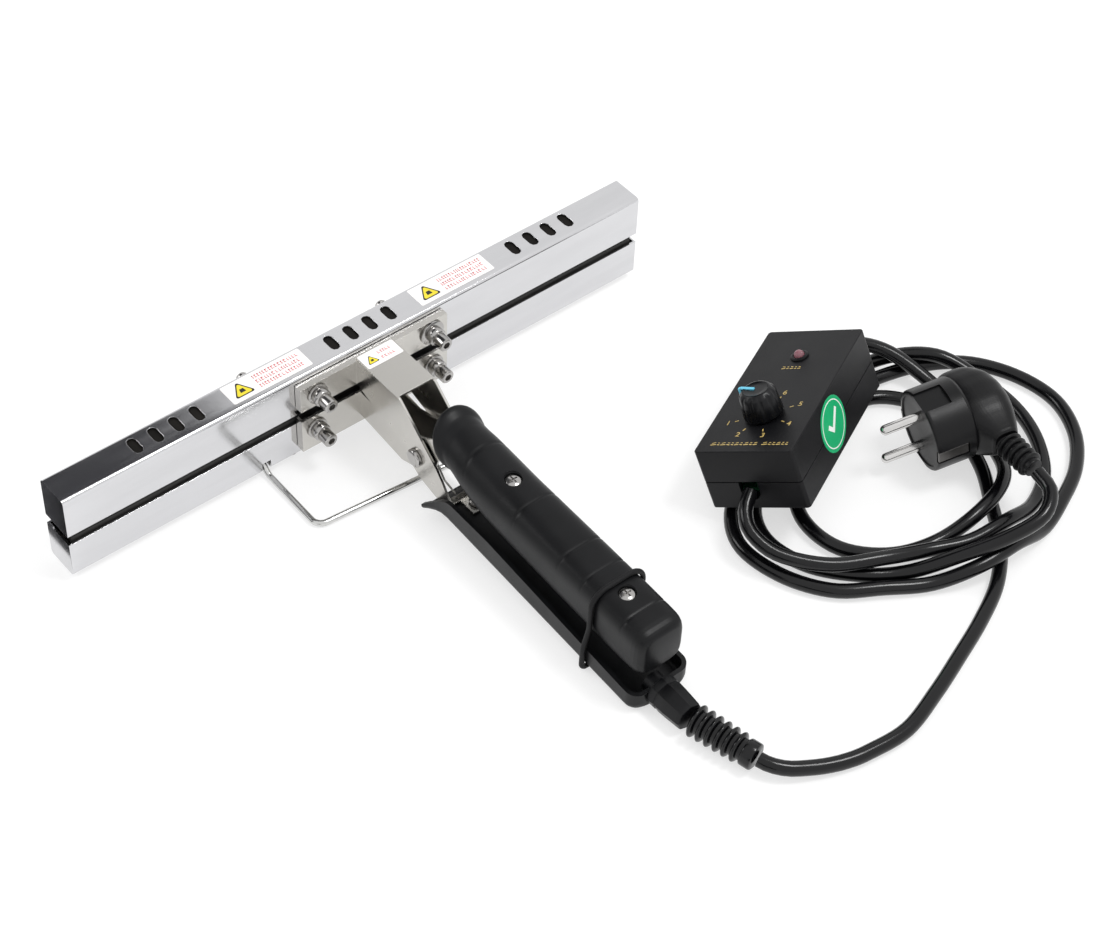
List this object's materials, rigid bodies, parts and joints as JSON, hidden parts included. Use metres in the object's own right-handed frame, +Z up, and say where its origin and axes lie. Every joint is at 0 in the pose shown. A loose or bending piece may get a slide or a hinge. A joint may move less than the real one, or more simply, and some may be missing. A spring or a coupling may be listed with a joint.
{
  "type": "hand-held heated jaw sealer",
  "caption": "Long twin-jaw heat sealing tongs with crossed steel arms, black grips, a fold-down wire stand, and a lead to a knob-controlled heat box and mains plug.",
  "frame": {"origin": "centre of the tongs' footprint on the surface they stand on, without the free leads", "axes": "+X along the jaws, -Y towards the handle ends, +Z up"},
  "size_m": [0.4233, 0.3066, 0.0589],
  "materials": {
    "polished_steel": "mirror polished stainless",
    "arm_steel": "satin stainless",
    "fastener_steel": "bright plated",
    "heater_alloy": "as extruded",
    "crimp_coating": "matt non-stick coating",
    "heating_element": "dull",
    "insulation": "felted",
    "grip_plastic": "satin",
    "handle_plastic": "satin",
    "cord_sheath": "smooth semi-gloss",
    "elastic_cord": "matt",
    "box_plastic": "fine grained satin",
    "circuit_board": "lacquered",
    "knob_plastic": "satin gloss",
    "lamp_lens": "clear tinted",
    "plug_plastic": "satin",
    "spring_steel": "bright drawn wire"
  },
  "bodies": {
    "tool": {"upper_jaw_cover": "polished_steel", "upper_heater_bar": "heater_alloy", "upper_crimp_bar": "crimp_coating", "upper_heating_rod": "heating_element", "upper_insulation_pad": "insulation", "temperature_sensor": "fastener_steel", "upper_arm": "arm_steel", "upper_bolt_left": "fastener_steel", "upper_bolt_right": "fastener_steel", "upper_washer_left": "fastener_steel", "upper_washer_right": "fastener_steel", "upper_spacer_left": "fastener_steel", "upper_spacer_right": "fastener_steel", "back_screw_left": "fastener_steel", "back_screw_right": "fastener_steel", "pivot_pin": "fastener_steel", "pivot_clip": "fastener_steel", "lower_handle": "handle_plastic", "lower_handle_screw": "fastener_steel", "gland_body": "handle_plastic", "strain_relief_boot": "cord_sheath", "opening_spring": "spring_steel", "retaining_loop": "elastic_cord", "tool_lead": "cord_sheath", "power_lead": "cord_sheath", "control_box_lid": "box_plastic", "control_box_base": "box_plastic", "control_board": "circuit_board", "potentiometer": "heater_alloy", "power_lamp": "lamp_lens", "lamp_bezel": "box_plastic", "box_screw_1": "fastener_steel", "box_screw_2": "fastener_steel", "plug_body": "plug_plastic", "plug_pin_a": "fastener_steel", "plug_pin_b": "fastener_steel", "earth_clip_a": "fastener_steel", "earth_clip_b": "fastener_steel"},
    "lower_jaw": {"lower_jaw_cover": "polished_steel", "lower_heater_bar": "heater_alloy", "lower_crimp_bar": "crimp_coating", "lower_heating_rod": "heating_element", "lower_insulation_pad": "insulation", "lower_arm": "arm_steel", "lower_bolt_left": "fastener_steel", "lower_bolt_right": "fastener_steel", "lower_washer_left": "fastener_steel", "lower_washer_right": "fastener_steel", "lower_spacer_left": "fastener_steel", "lower_spacer_right": "fastener_steel", "upper_grip": "grip_plastic", "grip_screw_front": "fastener_steel", "grip_screw_rear": "fastener_steel", "stand_clip_left": "fastener_steel", "stand_clip_right": "fastener_steel", "stand_screw_left": "fastener_steel", "stand_screw_right": "fastener_steel"},
    "stand": {"wire_stand": "spring_steel"},
    "knob": {"control_knob": "knob_plastic"}
  },
  "joints": [
    {"name": "jaw_hinge", "type": "hinge", "parent": "tool", "child": "lower_jaw", "pos_m": [0, 0.071, 0.0222], "axis": [-1, 0, 0], "range_deg": [0, 24], "deforming": ["opening_spring", "retaining_loop"]},
    {"name": "stand_swivel", "type": "hinge", "parent": "lower_jaw", "child": "stand", "pos_m": [0, 0.125, 0.007], "axis": [1, 0, 0], "range_deg": [0, 85]},
    {"name": "knob_turn", "type": "hinge", "parent": "tool", "child": "knob", "pos_m": [0.11555, -0.01818, 0.04348], "axis": [-0.1241, 0.4042, 0.9062], "range_deg": [0, 300]}
  ]
}
